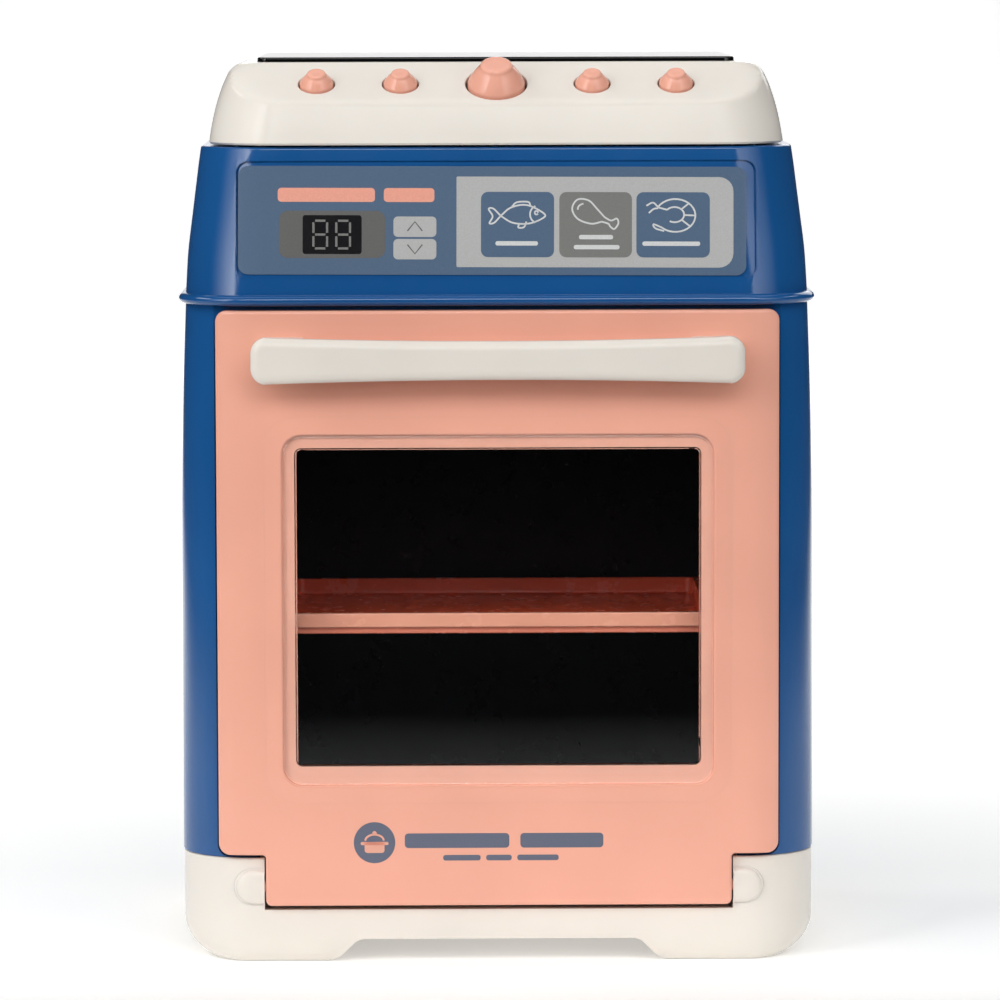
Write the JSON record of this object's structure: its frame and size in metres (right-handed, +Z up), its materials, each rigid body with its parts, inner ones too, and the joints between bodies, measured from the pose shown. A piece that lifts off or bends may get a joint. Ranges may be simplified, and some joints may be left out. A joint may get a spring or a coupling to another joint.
{
  "type": "toy cooker",
  "caption": "Toy electric cooker with a drop-down oven door, a clear window, a tray, push buttons on a sloped panel and a black hob.",
  "frame": {"origin": "on the floor, in the middle of the whole footprint, handle included", "axes": "+Z up, the door faces -Y, +X to the right as the door is seen from outside"},
  "size_m": [0.16, 0.12, 0.2273],
  "materials": {
    "shell_cream": "glossy moulded plastic",
    "shell_blue": "glossy moulded plastic",
    "door_pink": "glossy moulded plastic",
    "window_clear": "clear polystyrene",
    "cavity_navy": "glossy moulded plastic",
    "hob_black": "high gloss",
    "label_print": "printed film, satin",
    "dome_silicone": "moulded silicone",
    "board_green": "solder mask",
    "chip_resin": "black resin",
    "speaker_black": "satin",
    "tray_black": "moulded plastic",
    "cell_wrap": "printed film over steel",
    "contact_metal": "nickel plated",
    "screw_steel": "zinc plated",
    "lamp_clear": "clear resin",
    "lead_red": "insulated wire",
    "lead_black": "insulated wire",
    "lead_yellow": "insulated wire"
  },
  "bodies": {
    "cooker": {"base": "shell_cream", "base_screws": "screw_steel", "lower_housing": "shell_blue", "cavity_liner": "cavity_navy", "liner_screws": "screw_steel", "oven_lamp": "lamp_clear", "rear_panel": "shell_blue", "rear_screws": "screw_steel", "upper_housing": "shell_blue", "housing_screws": "screw_steel", "control_label": "label_print", "top_cover": "shell_cream", "cover_screws": "screw_steel", "hob_plate": "hob_black", "circuit_board": "board_green", "board_screws": "screw_steel", "sound_chip": "chip_resin", "dome_main": "dome_silicone", "dome_1": "dome_silicone", "dome_2": "dome_silicone", "dome_3": "dome_silicone", "dome_4": "dome_silicone", "speaker": "speaker_black", "battery_tray": "tray_black", "tray_screws": "screw_steel", "battery_contacts": "contact_metal", "battery_cells": "cell_wrap", "battery_door": "shell_blue", "battery_door_screw": "screw_steel", "battery_leads": "lead_red", "speaker_leads": "lead_black", "lamp_leads": "lead_yellow"},
    "door": {"door_panel": "door_pink", "door_window": "window_clear", "door_handle": "shell_cream", "handle_screws": "screw_steel"},
    "tray": {"oven_tray": "door_pink"},
    "main_button": {"button_main": "door_pink"},
    "small_button_1": {"button_1": "door_pink"},
    "small_button_2": {"button_2": "door_pink"},
    "small_button_3": {"button_3": "door_pink"},
    "small_button_4": {"button_4": "door_pink"}
  },
  "joints": [
    {"name": "door_hinge", "type": "hinge", "parent": "cooker", "child": "door", "pos_m": [0, -0.047, 0.0197], "axis": [1, 0, 0], "range_deg": [0, 90]},
    {"name": "tray_slide", "type": "slide", "parent": "cooker", "child": "tray", "axis": [0, -1, 0], "range_m": [0, 0.005]},
    {"name": "main_press", "type": "slide", "parent": "cooker", "child": "main_button", "axis": [0, 0.5, -0.866], "range_m": [0, 0.002], "stiffness_N_per_m": 500, "springref_m": -0.001, "deforming": ["dome_main"]},
    {"name": "press_1", "type": "slide", "parent": "cooker", "child": "small_button_1", "axis": [0, 0.5, -0.866], "range_m": [0, 0.0012], "stiffness_N_per_m": 500, "springref_m": -0.001, "deforming": ["dome_1"]},
    {"name": "press_2", "type": "slide", "parent": "cooker", "child": "small_button_2", "axis": [0, 0.5, -0.866], "range_m": [0, 0.0012], "stiffness_N_per_m": 500, "springref_m": -0.001, "deforming": ["dome_2"]},
    {"name": "press_3", "type": "slide", "parent": "cooker", "child": "small_button_3", "axis": [0, 0.5, -0.866], "range_m": [0, 0.0012], "stiffness_N_per_m": 500, "springref_m": -0.001, "deforming": ["dome_3"]},
    {"name": "press_4", "type": "slide", "parent": "cooker", "child": "small_button_4", "axis": [0, 0.5, -0.866], "range_m": [0, 0.0012], "stiffness_N_per_m": 500, "springref_m": -0.001, "deforming": ["dome_4"]}
  ]
}
